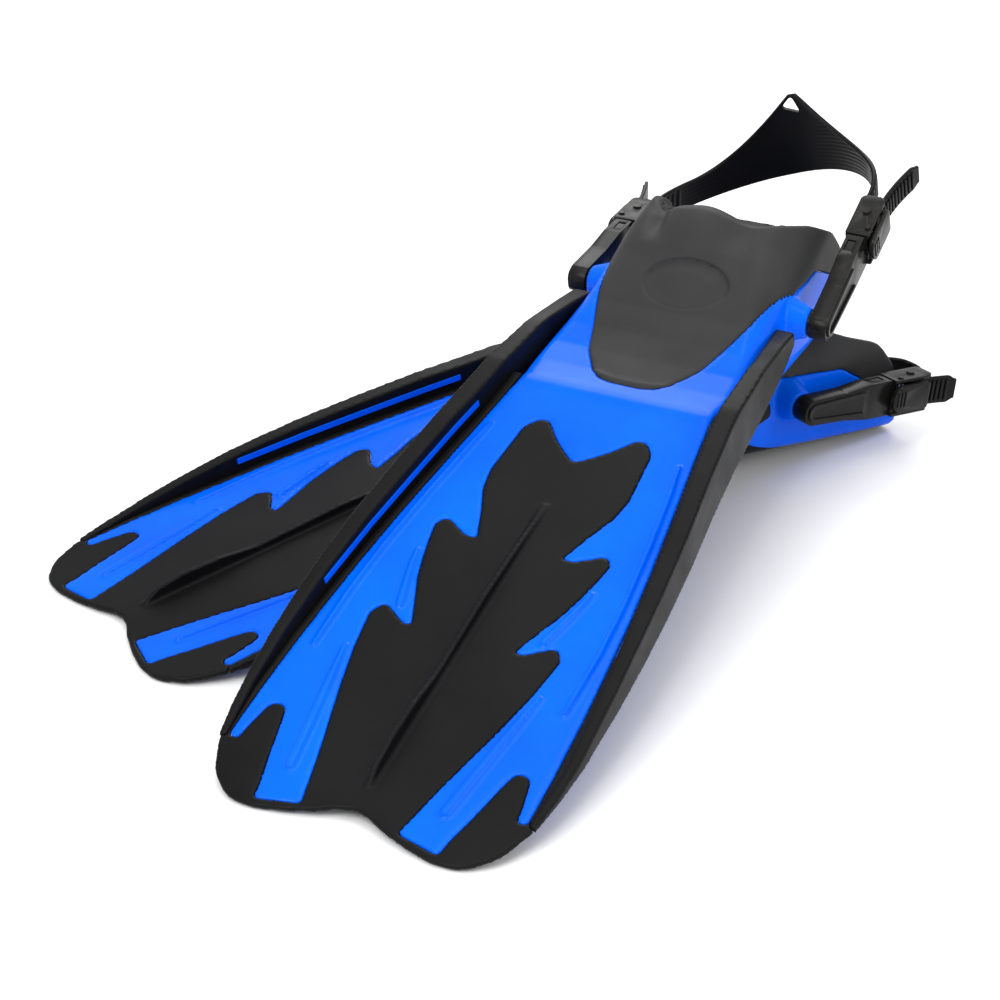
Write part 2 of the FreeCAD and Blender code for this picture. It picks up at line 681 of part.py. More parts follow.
def strap_solid(form, angle_right, angle_left):
    """The rubber band as a closed shell of flat facets, in the foot frame."""
    route, loop_start = strap_route(form)
    loop_end = len(route) - loop_start
    pivot = Vector(0, size("post_position"), size("post_height"))
    half_thickness = size("strap_thickness") / 2
    half_width = size("strap_width") / 2
    limb = size("roller_across") - size("strap_wrap_radius")
    rings = []
    for i, (x, y) in enumerate(route):
        before = route[max(i - 1, 0)]
        after = route[min(i + 1, len(route) - 1)]
        tangent = Vector(after[0] - before[0], after[1] - before[1], 0).normalize()
        normal = Vector(tangent.y, -tangent.x, 0)
        share = max(0.0, min(1.0, 0.5 + 0.5 * x / limb))
        top, bottom, lean = half_width, -half_width, 0.0
        if loop_start <= i < loop_end:
            top, bottom = strap_edges(x)
            lean = form["tab_lean"] * min(1.0, 3 * max(0.0, 1 - abs(x) / TAB_HALF_WIDTH))
        turn = Rotation(Vector(1, 0, 0), angle_left + (angle_right - angle_left) * share)
        ring = []
        for side, level in ((1, bottom), (1, FOLD), (1, top), (-1, top), (-1, FOLD), (-1, bottom)):
            corner = Vector(x, y, level) + normal * (side * half_thickness)
            ring.append(pivot + turn.multVec(leaned(corner, lean)))
        rings.append(ring)
    count = len(rings[0])
    faces = [facet(*rings[0]), facet(*reversed(rings[-1]))]
    for first, second in zip(rings, rings[1:]):
        for k in range(count):
            a, b = first[k], first[(k + 1) % count]
            c, d = second[(k + 1) % count], second[k]
            faces.append(facet(a, c, b))
            faces.append(facet(a, d, c))
    solid = Part.Solid(Part.Shell(faces))
    if solid.Volume < 0:
        solid.reverse()
    return solid


def facet(*corners):
    return Part.Face(Part.makePolygon([*corners, corners[0]]))


def build_strap(tag, placement, form, angle_right, angle_left):
    """Heel strap with a finger hole in its pull tab."""
    band = strap_solid(form, angle_right, angle_left)
    middle = angle_left + (angle_right - angle_left) / 2
    corners = ((-7.5, 44), (7.9, 44), (0.9, 55.5), (-7.5, 44))
    hole = [leaned(Vector(x, 0, z), form["tab_lean"]) for x, z in corners]
    start = 40 if form is PUSHED_IN else 150
    hole = [corner + Vector(0, start, 0) for corner in hole]
    prism = Part.Face(Part.makePolygon(hole)).extrude(Vector(0, 80, 0))
    prism.Placement = Placement(Vector(0, size("post_position"), size("post_height")),
                                Rotation(Vector(1, 0, 0), middle))
    strap = doc.addObject("Part::Feature", tag + "_heel_strap")
    strap.Shape = band.cut(prism)
    strap.Placement = placement.multiply(foot_local())
    return strap


# ---------------------------------------------------------------- one fin, then the pair

def placed(thing, name, placement):
    thing.Label = name
    thing.Placement = placement
    return thing


def build_fin(tag, placement, form, press, angle_right, angle_left):
    foot = placement.multiply(foot_local())
    nodes = []
    rails = build_rails(tag)
    outer, upper, pocket_lower, footbed = build_pocket(tag, press)

    plate_blue = extruded(tag + "_blue_plate", outline(tag + "_blue_plan", mirrored(FRAME_EDGE)),
                          0.0, "{plate_thickness}")
    ribs = build_ribs(tag)
    blue = fuse(tag + "_blue_whole", [plate_blue, pocket_lower] + ribs)
    nodes.append(placed(blue, tag + "_blade_frame", placement))

    plate = extruded(tag + "_black_plate", outline(tag + "_black_plan", mirrored(PLATE_EDGE)),
                     0.0, "{plate_thickness}")
    keel_sketch = outline(tag + "_keel_side", KEEL_PROFILE, SIDE_VIEW)
    keel = extruded(tag + "_keel", keel_sketch, "{keel_thickness} / 2", "{keel_thickness} / 2")
    rubber = fuse(tag + "_rubber_whole", [plate, keel])
    for i, tool in enumerate((plate_blue, rails["right"], rails["left"])):
        rubber = cut("%s_rubber_cut_%d" % (tag, i), rubber, tool)
    nodes.append(placed(rubber, tag + "_blade_membrane", placement))

    for side in ("right", "left"):
        rail = cut("%s_%s_rail_cut" % (tag, side), rails[side], outer)
        nodes.append(placed(rail, "%s_%s_rail" % (tag, side), placement))
        inlay = build_inlay(tag, side, rails[side])
        nodes.append(placed(inlay, "%s_%s_rail_inlay" % (tag, side), placement))
        nodes.append(placed(build_post(tag, side, placement), "%s_%s_strap_post" % (tag, side), placement))

    nodes.append(placed(upper, tag + "_foot_upper", placement))
    nodes.append(placed(footbed, footbed.Name, placement))
    nodes.append(build_tread(tag, foot))

    pivot = Placement(Vector(0, size("post_position"), size("post_height")), Rotation())
    hinge = foot.multiply(pivot)
    side_placements = {
        "right": hinge.multiply(Placement(Vector(), Rotation(Vector(1, 0, 0), angle_right))),
        "left": hinge.multiply(Placement(Vector(), Rotation(Vector(1, 0, 0), angle_left))),
    }
    for side, place in side_placements.items():
        nodes.append(build_arm(tag, side, place))
        nodes.append(build_frame(tag, side, place))
        nodes.append(build_lever(tag, side, place))
        nodes.append(build_roller(tag, side, place))
        for end in ("top", "bottom"):
            nodes.append(build_latch(tag, side, end, place))
    nodes.append(build_pins(tag, side_placements))
    nodes.append(build_springs(tag, side_placements))
    nodes.append(build_strap(tag, placement, form, angle_right, angle_left))
    return nodes


# The pair: the lower fin lies along Y on its tip and its heel; the upper one leans on it.
FLOOR_SHIFT = Vector(-108.62, -304.84, 6.65)
LOWER_FIN = Placement(FLOOR_SHIFT, Rotation(Vector(1, 0, 0), 8.81))
UPPER_FIN = Placement(FLOOR_SHIFT + Vector(270.3, 5.6, 3.5),
                      Rotation(Vector(0, 0, 1), 27.8).multiply(Rotation(Vector(1, 0, 0), 17.7)))

parts = build_fin("lower", LOWER_FIN, PUSHED_IN, 8.0, 0.5, 0.5)
parts += build_fin("upper", UPPER_FIN, BOWED, 0.0, 23.0, 2.0)
doc.recompute()

for thing in doc.Objects:
    assert "Invalid" not in thing.State and "Error" not in thing.State, thing.Name + " failed"
for node in parts:
    shape = node.Shape
    assert not shape.isNull() and shape.isValid(), node.Label + " has no valid shape"

os.makedirs("parts", exist_ok=True)
for node in parts:
    node.Shape.exportStep("parts/%s.step" % node.Label)
print("wrote", len(parts), "nodes")
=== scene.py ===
"""A pair of open-heel swim fins lying across each other on a pale floor."""
import json
import math

import bmesh
import bpy
from mathutils import Matrix, Vector


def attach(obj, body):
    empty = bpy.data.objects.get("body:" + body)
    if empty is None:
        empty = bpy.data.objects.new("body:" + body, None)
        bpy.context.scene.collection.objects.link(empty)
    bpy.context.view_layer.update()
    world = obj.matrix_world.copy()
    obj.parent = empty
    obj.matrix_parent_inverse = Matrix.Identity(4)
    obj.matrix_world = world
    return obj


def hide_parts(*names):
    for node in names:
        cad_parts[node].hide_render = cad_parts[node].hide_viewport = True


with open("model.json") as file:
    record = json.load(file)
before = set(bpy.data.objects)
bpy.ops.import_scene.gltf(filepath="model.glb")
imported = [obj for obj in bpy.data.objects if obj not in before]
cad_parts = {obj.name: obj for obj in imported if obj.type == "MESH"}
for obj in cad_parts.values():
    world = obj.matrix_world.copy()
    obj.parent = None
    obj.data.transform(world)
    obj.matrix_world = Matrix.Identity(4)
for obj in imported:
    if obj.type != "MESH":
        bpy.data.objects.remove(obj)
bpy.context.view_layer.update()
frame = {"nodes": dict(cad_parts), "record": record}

MM = 0.001
TAU = math.tau


# ------------------------------------------------------------------ frames

def turn(axis, degrees):
    return Matrix.Rotation(math.radians(degrees), 4, axis)


def shift(x, y, z):
    return Matrix.Translation((x * MM, y * MM, z * MM))


FLOOR_SHIFT = shift(-108.62, -304.84, 6.65)
FOOT = shift(0, 365, 0) @ turn("X", -15)
HINGE = shift(0, 152, 9)
FINS = {
    "lower": FLOOR_SHIFT @ turn("X", 8.81),
    "upper": FLOOR_SHIFT @ shift(270.3, 5.6, 3.5) @ turn("Z", 27.8) @ turn("X", 17.7),
}
STRAP_ANGLES = {"lower": {"right": 0.5, "left": 0.5}, "upper": {"right": 23.0, "left": 2.0}}


# ------------------------------------------------------------------ camera and light

def look_matrix(position, right, down, forward):
    axes = Matrix((right, [-v for v in down], [-v for v in forward])).transposed()
    return Matrix.Translation(position) @ axes.to_4x4()


camera_data = bpy.data.cameras.new("camera")
camera_data.sensor_width = 36
camera_data.lens = 81.71
camera_data.shift_x = -0.0149
camera_data.shift_y = -0.0046
camera_data.clip_end = 20
camera = bpy.data.objects.new("camera", camera_data)
bpy.context.scene.collection.objects.link(camera)
camera.matrix_world = look_matrix((1.06385, -0.86582, 0.7601), (0.58962, 0.80742, 0.02046),
                                  (0.38225, -0.25664, -0.88771), (-0.7115, 0.53123, -0.45995))
bpy.context.scene.camera = camera


def area_light(name, position, target, across, power, shape="SQUARE", along=None):
    data = bpy.data.lights.new(name, "AREA")
    data.shape = shape
    data.size = across
    if along:
        data.size_y = along
    data.energy = power
    lamp = bpy.data.objects.new(name, data)
    bpy.context.scene.collection.objects.link(lamp)
    lamp.location = position
    aim = Vector(target) - Vector(position)
    lamp.rotation_euler = aim.to_track_quat("-Z", "Y").to_euler()
    return lamp


area_light("key", (0.6, -1.6, 1.9), (0, 0, 0.1), 1.3, 34)
area_light("side", (1.9, 0.9, 1.2), (0, 0.1, 0.1), 1.0, 16, "RECTANGLE", 1.6)
area_light("back", (-1.5, 1.4, 1.6), (0, 0, 0.1), 1.4, 20)
area_light("top", (0.0, 0.0, 2.4), (0, 0, 0), 1.8, 20)

world = bpy.data.worlds.new("studio")
world.use_nodes = True
world.node_tree.nodes["Background"].inputs["Color"].default_value = (1, 1, 1, 1)
world.node_tree.nodes["Background"].inputs["Strength"].default_value = 0.75
bpy.context.scene.world = world
bpy.context.scene.view_settings.view_transform = "Standard"


# ------------------------------------------------------------------ materials

class Nodes:
    """A small writer of shader nodes in object coordinates."""

    def __init__(self, name):
        self.material = bpy.data.materials.new(name)
        self.material.use_nodes = True
        self.tree = self.material.node_tree
        self.shader = self.tree.nodes["Principled BSDF"]
        self.place = self.tree.nodes.new("ShaderNodeTexCoord").outputs["Object"]

    def link(self, a, b):
        self.tree.links.new(a, b)

    def noise(self, scale, detail=3.0, rough=0.5, stretch=None):
        node = self.tree.nodes.new("ShaderNodeTexNoise")
        node.inputs["Scale"].default_value = scale
        node.inputs["Detail"].default_value = detail
        node.inputs["Roughness"].default_value = rough
        place = self.place
        if stretch:
            mapping = self.tree.nodes.new("ShaderNodeMapping")
            mapping.inputs["Scale"].default_value = stretch
            self.link(place, mapping.inputs["Vector"])
            place = mapping.outputs["Vector"]
        self.link(place, node.inputs["Vector"])
        return node.outputs["Fac"]

    def remap(self, value, low, high, to_low, to_high):
        node = self.tree.nodes.new("ShaderNodeMapRange")
        for key, number in zip(("From Min", "From Max", "To Min", "To Max"), (low, high, to_low, to_high)):
            node.inputs[key].default_value = number
        self.link(value, node.inputs["Value"])
        return node.outputs["Result"]

    def blend(self, factor, first, second):
        node = self.tree.nodes.new("ShaderNodeMix")
        node.data_type = "RGBA"
        node.inputs[6].default_value = (*first, 1)
        node.inputs[7].default_value = (*second, 1)
        self.link(factor, node.inputs[0])
        return node.outputs[2]

    def add(self, a, b, weight=1.0):
        node = self.tree.nodes.new("ShaderNodeMath")
        node.operation = "MULTIPLY_ADD"
        self.link(b, node.inputs[0])
        node.inputs[1].default_value = weight
        self.link(a, node.inputs[2])
        return node.outputs[0]

    def bump(self, height, strength, distance):
        node = self.tree.nodes.new("ShaderNodeBump")
        node.inputs["Strength"].default_value = strength
        node.inputs["Distance"].default_value = distance
        self.link(height, node.inputs["Height"])
        self.link(node.outputs["Normal"], self.shader.inputs["Normal"])

    def edge_wear(self, colour, worn, low=0.52, high=0.60):
        """Paler on raised edges, broken up by noise."""
        geometry = self.tree.nodes.new("ShaderNodeNewGeometry")
        edges = self.remap(geometry.outputs["Pointiness"], low, high, 0, 1)
        patchy = self.remap(self.noise(180, 2), 0.35, 0.7, 0.2, 1)
        both = self.tree.nodes.new("ShaderNodeMath")
        both.operation = "MULTIPLY"
        self.link(edges, both.inputs[0])
        self.link(patchy, both.inputs[1])
        node = self.tree.nodes.new("ShaderNodeMix")
        node.data_type = "RGBA"
        node.inputs[7].default_value = (*worn, 1)
        self.link(both.outputs[0], node.inputs[0])
        self.link(colour, node.inputs[6])
        return node.outputs[2]


def moulded(name, dark, light, rough, grain, depth, coat=0.0, specular=0.5, worn=None):
    """Moulded rubber or plastic: colour clouding, grain and faint flow marks."""
    nodes = Nodes(name)
    clouds = nodes.remap(nodes.noise(9, 4, 0.6), 0.3, 0.7, 0, 1)
    colour = nodes.blend(clouds, dark, light)
    if worn:
        colour = nodes.edge_wear(colour, worn)
    nodes.link(colour, nodes.shader.inputs["Base Color"])
    smears = nodes.noise(22, 5, 0.6)
    nodes.link(nodes.remap(smears, 0.3, 0.7, rough[0], rough[1]), nodes.shader.inputs["Roughness"])
    fine = nodes.noise(grain, 2, 0.5)
    broad = nodes.noise(40, 2, 0.5)
    nodes.bump(nodes.add(fine, broad, 0.8), 0.35, depth)
    nodes.shader.inputs["Coat Weight"].default_value = coat
    nodes.shader.inputs["Coat Roughness"].default_value = 0.08
    nodes.shader.inputs["Specular IOR Level"].default_value = specular
    return nodes.material


BLUE = moulded("blue_plastic", (0.0, 0.085, 0.72), (0.0, 0.125, 0.90), (0.17, 0.28), 420, 0.00006,
               coat=0.09, specular=0.05)
RUBBER = moulded("black_rubber", (0.0035, 0.0035, 0.0038), (0.0070, 0.0070, 0.0075), (0.36, 0.50), 900,
                 0.00012, specular=0.08, worn=(0.012, 0.012, 0.013))
UPPER = moulded("upper_rubber", (0.021, 0.021, 0.022), (0.032, 0.032, 0.033), (0.46, 0.60), 1400,
                0.0002, specular=0.12, worn=(0.05, 0.05, 0.05))
TREAD = moulded("tread_rubber", (0.004, 0.004, 0.004), (0.008, 0.008, 0.008), (0.6, 0.75), 1000, 0.0002,
                specular=0.25)
BUCKLE = moulded("buckle_plastic", (0.0040, 0.0038, 0.0036), (0.0080, 0.0076, 0.0072), (0.22, 0.36), 700,
                 0.00008, specular=0.12, worn=(0.02, 0.019, 0.018))
STRAP = moulded("strap_rubber", (0.0035, 0.0035, 0.0037), (0.0065, 0.0065, 0.0068), (0.28, 0.42), 800,
                0.0001, specular=0.1, worn=(0.01, 0.01, 0.01))


def steel():
    nodes = Nodes("steel")
    streaks = nodes.noise(60, 3, 0.6, (1, 1, 14))
    nodes.link(nodes.blend(streaks, (0.45, 0.45, 0.46), (0.68, 0.68, 0.69)),
               nodes.shader.inputs["Base Color"])
    nodes.link(nodes.remap(streaks, 0.3, 0.7, 0.22, 0.4), nodes.shader.inputs["Roughness"])
    nodes.shader.inputs["Metallic"].default_value = 1.0
    nodes.bump(streaks, 0.2, 0.00003)
    return nodes.material


def pale_floor():
    nodes = Nodes("pale_floor")
    nodes.link(nodes.blend(nodes.noise(3, 2), (0.86, 0.86, 0.86), (0.9, 0.9, 0.9)),
               nodes.shader.inputs["Base Color"])
    nodes.shader.inputs["Roughness"].default_value = 0.7
    return nodes.material


STEEL = steel()
FLOOR = pale_floor()
SLOT_MATERIALS = {"blue_plastic": BLUE, "black_rubber": RUBBER, "upper_rubber": UPPER,
                  "tread_rubber": TREAD, "buckle_plastic": BUCKLE, "steel": STEEL}

mesh = bpy.data.meshes.new("floor")
mesh.from_pydata([(-4, -4, 0), (4, -4, 0), (4, 4, 0), (-4, 4, 0)], [], [(0, 1, 2, 3)])
mesh.materials.append(FLOOR)
floor = bpy.data.objects.new("floor", mesh)
floor.location.z = -0.0002
bpy.context.scene.collection.objects.link(floor)


# ------------------------------------------------------------------ CAD pieces that stay

slots = {entry["node"]: entry["material_slot"] for entry in frame["record"]["subparts"]}
for node, piece in frame["nodes"].items():
    piece.data.materials.clear()
    piece.data.materials.append(SLOT_MATERIALS[slots[node]])


# ------------------------------------------------------------------ mesh tools

def bare_object(name, mesh, material, body, nodes):
    """A visible piece that rides on a body in place of CAD nodes."""
    mesh.materials.clear()
    mesh.materials.append(material)
    piece = bpy.data.objects.new(name, mesh)
    bpy.context.scene.collection.objects.link(piece)
    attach(piece, body)
    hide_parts(*nodes)
    return piece


def smooth_by_angle(mesh, degrees):
    """Smooth shading, with every edge sharper than the angle left crisp."""
    work = bmesh.new()
    work.from_mesh(mesh)
    bmesh.ops.recalc_face_normals(work, faces=work.faces)
    limit = math.radians(degrees)
    for face in work.faces:
        face.smooth = True
    for edge in work.edges:
        if len(edge.link_faces) == 2:
            edge.smooth = edge.calc_face_angle(0.0) < limit
    work.to_mesh(mesh)
    work.free()


def evaluated(piece):
    """The piece's mesh with its modifiers applied."""
    graph = bpy.context.evaluated_depsgraph_get()
    graph.update()
    return bpy.data.meshes.new_from_object(piece.evaluated_get(graph))


def apply_modifiers(source_mesh, settings):
    """A new mesh from a list of (modifier type, properties)."""
    helper = bpy.data.objects.new("helper", source_mesh)
    bpy.context.scene.collection.objects.link(helper)
    for kind, properties in settings:
        modifier = helper.modifiers.new(kind.lower(), kind)
        for key, value in properties.items():
            setattr(modifier, key, value)
    result = evaluated(helper)
    bpy.data.objects.remove(helper)
    return result


def rounded_copy(node, voxel, rounds):
    """The node's shape with the soft edges that come out of a mould."""
    steps = [("REMESH", {"mode": "VOXEL", "voxel_size": voxel * MM, "use_smooth_shade": True}),
             ("SMOOTH", {"factor": 0.5, "iterations": rounds})]
    return apply_modifiers(frame["nodes"][node].data.copy(), steps)


def swept(rings):
    """A skin over rings of points, with a cap at each end."""
    count = len(rings[0])
    points = [point for ring in rings for point in ring]
    faces = []
    for i in range(len(rings) - 1):
        first, second = i * count, (i + 1) * count
        for k in range(count):
            nxt = (k + 1) % count
            faces.append((first + k, first + nxt, second + nxt, second + k))
    faces.append(tuple(reversed(range(count))))
    faces.append(tuple(range((len(rings) - 1) * count, len(rings) * count)))
    mesh = bpy.data.meshes.new("swept")
    mesh.from_pydata(points, [], faces)
    return mesh


def joined(meshes):
    work = bmesh.new()
    for mesh in meshes:
        work.from_mesh(mesh)
    result = bpy.data.meshes.new("joined")
    work.to_mesh(result)
    work.free()
    return result


def soft_block(half, edge=0.4):
    """A small block with rounded edges, centred on the origin; sizes in millimetres."""
    work = bmesh.new()
    bmesh.ops.create_cube(work, size=2.0)
    bmesh.ops.scale(work, vec=[h * MM for h in half], verts=work.verts)
    bmesh.ops.bevel(work, geom=work.edges[:], offset=edge * MM, segments=3, profile=0.5, affect="EDGES")
    mesh = bpy.data.meshes.new("block")
    work.to_mesh(mesh)
    work.free()
    return mesh


def smoothstep(low, high, value):
    t = min(1.0, max(0.0, (value - low) / (high - low)))
    return t * t * (3 - 2 * t)


def bell(value, width):
    return math.exp(-(value / width) ** 2)


# ------------------------------------------------------------------ heel straps

ROLLER = (92.5, 102.0)
WRAP = 5.4
LIMB = ROLLER[0] - WRAP
LOOP_START = 125.0
LOOP_DEPTH = 67.0
FOLD = 8.0
FOLD_REACH = 12.0
BAND_HALF = 11.0
BAND_THICKNESS = 2.8
TAB_HALF_WIDTH = 72.0
TAB_RISE = 53.0
TAB_SAG = 2.0
TAIL_CURL = 12.5
TAIL_CURL_LENGTH = 60.0
TOOTH_PITCH = 4.2
FORMS = {"upper": (60.0, 0.0), "lower": (40.0, 68.0)}
PUSHED_LOOP = [
    (87.1, 112), (85.5, 119), (80, 125.5), (72, 127.5), (64.5, 124), (60, 115), (57, 102),
    (52, 88), (44, 74), (32, 64), (16, 58.5), (0, 57),
]


def tail_across(along):
    return ROLLER[0] + WRAP + TAIL_CURL * (along / TAIL_CURL_LENGTH) ** 2


def half_route(tail):
    """Right half of the strap's middle line: (part, X, Y) from the tail's end inwards."""
    route = []
    for step in range(35):
        along = tail * (1 - step / 34)
        route.append(("tail", tail_across(along), ROLLER[1] + along))
    for step in range(1, 16):
        angle = math.pi * step / 16
        route.append(("wrap", ROLLER[0] + WRAP * math.cos(angle), ROLLER[1] - WRAP * math.sin(angle)))
    for step in range(14):
        route.append(("limb", LIMB, ROLLER[1] + (LOOP_START - ROLLER[1]) * step / 14))
    return route


def smooth_line(points, per_span):
    """A curve through the points, each span divided evenly."""
    line = []
    spans = list(zip([points[0]] + points[:-2], points[:-1], points[1:], points[2:] + [points[-1]]))
    for a, b, c, d in spans:
        for step in range(per_span):
            t = step / per_span
            line.append(tuple(0.5 * (2 * q + (r - p) * t + (2 * p - 5 * q + 4 * r - u) * t * t
                                     + (3 * q - p - 3 * r + u) * t ** 3)
                              for p, q, r, u in zip(a, b, c, d)))
    return line + [points[-1]]


def strap_route(tag):
    tail, lean = FORMS[tag]
    right = half_route(tail)
    if lean:
        right = [entry for entry in right if entry[0] != "limb"]
        points = PUSHED_LOOP + [(-x, y) for x, y in reversed(PUSHED_LOOP[:-1])]
        loop = [("loop", x, y) for x, y in smooth_line([(LIMB, ROLLER[1] + 1.5)] + points
                                                       + [(-LIMB, ROLLER[1] + 1.5)], 8)]
    else:
        steps = 260
        loop = [("loop", LIMB * math.cos(math.pi * i / steps),
                 LOOP_START + LOOP_DEPTH * math.sin(math.pi * i / steps)) for i in range(steps + 1)]
    left = [(part, -x, y) for part, x, y in reversed(right)]
    return right + loop + left


def strap_edges(x):
    """Upper and lower edge of the strap in its loop, in millimetres."""
    rise = max(0.0, 1 - math.hypot(x, 3.0) / TAB_HALF_WIDTH)
    return BAND_HALF + TAB_RISE * min(rise, 0.94) ** 1.7, -BAND_HALF - TAB_SAG * rise


def strap_relief(part, x, y, level, top, bottom):
    """How far a face of the band stands above plain: ribs, rim and cross ridges."""
    if part == "tail":
        return 0.0
    to_edge = min(top - level, level - bottom)
    relief = 0.40 * bell(to_edge - 1.5, 0.9)
    if part == "loop":
        inside = smoothstep(2.0, 3.5, to_edge)
        ribbed = smoothstep(16, 26, abs(x)) * smoothstep(80, 72, abs(x)) * inside
        relief += 0.35 * ribbed * (0.5 + 0.5 * math.cos(TAU * level / 3.4))
        for ridge in range(6):
            relief += 0.9 * bell(y - LOOP_START - 2 - 5 * ridge, 1.3) * inside * smoothstep(70, 76, abs(x))
    return relief


def strap_section(top, bottom, thickness, relief):
    """Points round one cut through the band: (outward, level)."""
    half = thickness / 2
    count = 44
    corner = min(1.1, half * 0.8)
    levels = [bottom + corner + (top - bottom - 2 * corner) * k / count for k in range(count + 1)]
    section = [(half + relief(level), level) for level in levels]
    for angle in (70, 45, 20):
        a = math.radians(angle)
        section.append((half - corner + corner * math.sin(a), top - corner + corner * math.cos(a)))
    for angle in (20, 45, 70):
        a = math.radians(angle)
        section.append((-half + corner - corner * math.sin(a), top - corner + corner * math.cos(a)))
    section += [(-half - relief(level), level) for level in reversed(levels)]
    for angle in (70, 45, 20):
        a = math.radians(angle)
        section.append((-half + corner - corner * math.sin(a), bottom + corner - corner * math.cos(a)))
    for angle in (20, 45, 70):
        a = math.radians(angle)
        section.append((half - corner + corner * math.sin(a), bottom + corner - corner * math.cos(a)))
    return section


def leaned(spot, lean):
    """Above the fold the band bends forward round a short radius, then leans by an angle."""
    rest = spot.z - FOLD
    if rest <= 0 or not lean:
        return spot
    angle = math.radians(lean)
    bend = min(rest / FOLD_REACH, 1.0) * angle
    reach = FOLD_REACH / angle
    beyond = max(0.0, rest - FOLD_REACH)
    forward = reach * (1 - math.cos(bend)) + beyond * math.sin(angle)
    up = reach * math.sin(bend) + beyond * math.cos(angle)
    return Vector((spot.x, spot.y - forward, FOLD + up))


def strap_place(tag, x):
    share = min(1.0, max(0.0, 0.5 + 0.5 * x / LIMB))
    angles = STRAP_ANGLES[tag]
    angle = angles["left"] + (angles["right"] - angles["left"]) * share
    return FINS[tag] @ FOOT @ HINGE @ turn("X", angle)


def tab_hole(tag):
    """The rounded triangular hole of the pull tab as a cutting solid."""
    place = strap_place(tag, 0)
    lean = FORMS[tag][1]
    corners = [Vector(corner) for corner in ((-8.5, 45), (8.5, 45), (0, 58))]
    outline = []
    for i, corner in enumerate(corners):
        start = corner.lerp(corners[i - 1], 0.25)
        end = corner.lerp(corners[(i + 1) % 3], 0.25)
        for t in (0, 0.25, 0.5, 0.75, 1):
            outline.append(start.lerp(corner, t).lerp(corner.lerp(end, t), t))
    reach = (30, 70) if lean else (170, 215)
    loops = [[place @ (leaned(Vector((p.x, depth, p.y)), lean) * MM) for p in outline] for depth in reach]
    cutter_mesh = swept(loops)
    smooth_by_angle(cutter_mesh, 30)
    cutter = bpy.data.objects.new("cutter", cutter_mesh)
    bpy.context.scene.collection.objects.link(cutter)
    return cutter


def build_strap(tag):
    route = strap_route(tag)
    tail, lean = FORMS[tag]
    rings = []
    for i, (part, x, y) in enumerate(route):
        before, after = route[max(i - 1, 0)], route[min(i + 1, len(route) - 1)]
        tangent = Vector((after[1] - before[1], after[2] - before[2])).normalized()
        outward = (tangent.y, -tangent.x)
        top, bottom = strap_edges(x) if part == "loop" else (BAND_HALF, -BAND_HALF)
        if part == "tail":
            top = BAND_HALF - 3.0 * (1 - smoothstep(0, 7, tail - (y - ROLLER[1])))
            bottom = -top
        share = min(1.0, 3 * max(0.0, 1 - abs(x) / TAB_HALF_WIDTH))
        folded = lean * share if part == "loop" else 0.0
        place = strap_place(tag, x)
        ring = []
        section = strap_section(top, bottom, BAND_THICKNESS,
                                lambda z: strap_relief(part, x, y, z, top, bottom))
        for out, level in section:
            spot = Vector((x + outward[0] * out, y + outward[1] * out, level))
            ring.append(place @ (leaned(spot, folded) * MM))
        rings.append(ring)
    band = swept(rings)
    smooth_by_angle(band, 50)
    cutter = tab_hole(tag)
    cutting = {"object": cutter, "operation": "DIFFERENCE", "solver": "EXACT"}
    band = apply_modifiers(band, [("BOOLEAN", cutting)])
    bpy.data.objects.remove(cutter)
    teeth = []
    for sign in (1, -1):
        for tooth in range(int((tail - 12) / TOOTH_PITCH)):
            along = 10 + TOOTH_PITCH * tooth
            slope = math.degrees(math.atan(2 * TAIL_CURL * along / TAIL_CURL_LENGTH ** 2))
            block = soft_block((1.1, 1.2, 8.2), 0.45)
            spot = shift(sign * (tail_across(along) + 1.7), ROLLER[1] + along, 0)
            spot = spot @ turn("Z", -sign * slope)
            block.transform(strap_place(tag, sign * LIMB) @ spot)
            teeth.append(block)
    whole = joined([band] + teeth)
    smooth_by_angle(whole, 42)
    bare_object(tag + "_strap_band", whole, STRAP, tag + "_strap_unit",
                [tag + "_heel_strap"])


# ------------------------------------------------------------------ foot pocket upper

OVAL_MIDDLE = 123.5
OVAL_ACROSS, OVAL_ALONG = 31.0, 19.5


def ellipse_ring(s, x):
    """Distance from the inset oval's line, in millimetres, roughly."""
    radius = math.hypot(x / OVAL_ACROSS, (s - OVAL_MIDDLE) / OVAL_ALONG)
    return (radius - 1) * (OVAL_ACROSS + OVAL_ALONG) / 2


def upper_relief(x, s, h):
    """What the soft upper has beyond its plain skin: oval, bumps, crease, rim."""
    away = ellipse_ring(s, x)
    heelward = smoothstep(-1.1, 0.7, (s - OVAL_MIDDLE) / OVAL_ALONG)
    relief = -1.7 * smoothstep(1.0, -0.6, away) * smoothstep(-16, -1, away) * heelward
    relief -= 0.7 * bell(away, 1.0) * (0.35 + 0.65 * heelward)
    near_edge = smoothstep(138, 176, s)
    relief += 5.0 * bell(x + 12, 20) * near_edge
    relief -= 5.5 * bell(x + 42 - 0.15 * (180 - s), 7) * smoothstep(146, 176, s)
    relief += 2.5 * bell(x + 60, 11) * near_edge
    relief -= 3.0 * bell(x - 24, 14) * near_edge
    relief -= 1.6 * bell(x - 34, 9) * bell(s - 140, 22)
    relief += 0.7 * bell(s - 24 - 0.0065 * x * x, 2.5) * smoothstep(52, 40, abs(x))
    return relief


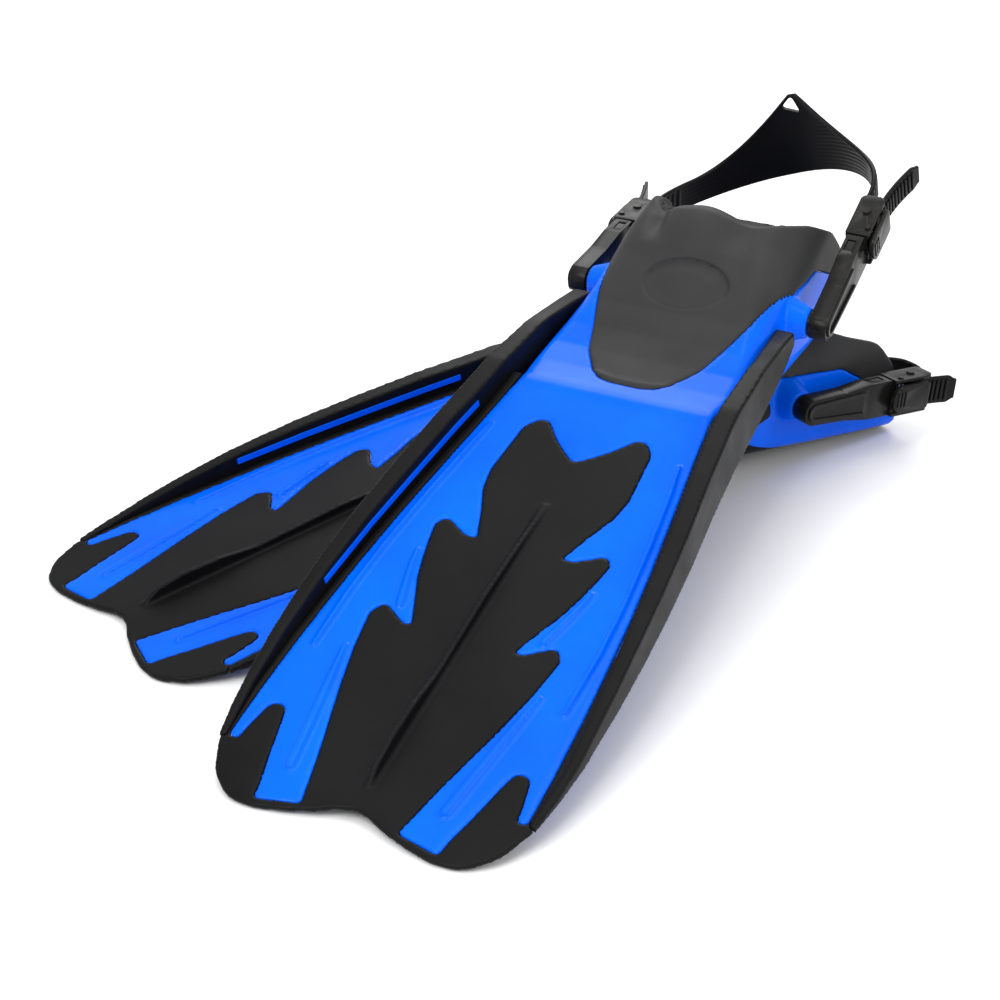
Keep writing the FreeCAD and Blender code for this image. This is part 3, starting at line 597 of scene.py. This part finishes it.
def build_upper(tag):
    node = tag + "_foot_upper"
    mesh = rounded_copy(node, 1.25, 12)
    to_foot = (FINS[tag] @ FOOT).inverted()
    shell = bmesh.new()
    shell.from_mesh(mesh)
    shell.normal_update()
    moves = []
    rotation = to_foot.to_3x3()
    for vertex in shell.verts:
        spot = to_foot @ vertex.co
        up = (rotation @ vertex.normal).z
        x, s, h = (value / MM for value in spot)
        if up > 0.15 and h > -2:
            relief = upper_relief(x, s, h) * smoothstep(0.15, 0.5, up)
            moves.append((vertex, vertex.co + vertex.normal * relief * MM))
    for vertex, target in moves:
        vertex.co = target
    shell.to_mesh(mesh)
    shell.free()
    smooth_by_angle(mesh, 60)
    bare_object(tag + "_upper_skin", mesh, UPPER, tag + "_fin", [node])


# ------------------------------------------------------------------ blade

def build_rubber(tag, node, name, voxel, rounds):
    mesh = rounded_copy(node, voxel, rounds)
    smooth_by_angle(mesh, 60)
    bare_object(name, mesh, RUBBER, tag + "_fin", [node])


SEAM_POSITION = 371.0
SOLE_EDGE = -29.5
ARCH_RISE, ARCH_POSITION = 13.0, 95.0


def build_frame(tag):
    """The blue frame, its plate eased into the pocket, with the sole's black rubber edge."""
    node = tag + "_blade_frame"
    mesh = rounded_copy(node, 1.25, 5)
    to_fin = FINS[tag].inverted()
    to_foot = (FINS[tag] @ FOOT).inverted()
    work = bmesh.new()
    work.from_mesh(mesh)
    for _ in range(14):
        seam = []
        for vertex in work.verts:
            spot = to_fin @ vertex.co
            weight = bell(spot.y / MM - SEAM_POSITION, 16) if spot.z > -0.012 else 0
            if weight > 0.05:
                seam.append((vertex, weight))
        moved = []
        for vertex, weight in seam:
            around = [edge.other_vert(vertex).co for edge in vertex.link_edges]
            middle = sum(around, Vector()) / len(around)
            moved.append((vertex, vertex.co.lerp(middle, 0.8 * weight)))
        for vertex, spot in moved:
            vertex.co = spot
    work.to_mesh(mesh)
    work.free()
    smooth_by_angle(mesh, 60)
    piece = bare_object(tag + "_frame_skin", mesh, BLUE, tag + "_fin", [node])
    mesh.materials.append(RUBBER)
    for polygon in mesh.polygons:
        spot = to_foot @ polygon.center / MM
        edge = SOLE_EDGE + ARCH_RISE * bell(spot.y - ARCH_POSITION, 34)
        if spot.z < edge and spot.y > 40:
            polygon.material_index = 1
    return piece


def soften_cad(piece, width, degrees=32):
    """Small rounded edges on a CAD piece that keeps its own mesh."""
    for polygon in piece.data.polygons:
        polygon.use_smooth = True
    weld = piece.modifiers.new("weld", "WELD")
    weld.merge_threshold = 0.00002
    bevel = piece.modifiers.new("edge", "BEVEL")
    bevel.width = width * MM
    bevel.segments = 2
    bevel.limit_method = "ANGLE"
    bevel.angle_limit = math.radians(degrees)
    bevel.harden_normals = True
    bevel.use_clamp_overlap = True


for tag in FINS:
    build_strap(tag)
    build_upper(tag)
    for side in ("right", "left"):
        build_rubber(tag, "%s_%s_rail" % (tag, side), "%s_%s_rail_bead" % (tag, side), 1.3, 6)
    build_rubber(tag, tag + "_blade_membrane", tag + "_blade_web", 1.2, 3)
    build_frame(tag)

EDGE_WIDTHS = {"clip_arm": 0.7, "buckle_frame": 0.5, "release_lever": 0.7,
               "strap_post": 0.4, "sole_tread": 0.5, "footbed": 0.8}
for node, piece in frame["nodes"].items():
    for ending, width in EDGE_WIDTHS.items():
        if node.endswith(ending):
            soften_cad(piece, width)
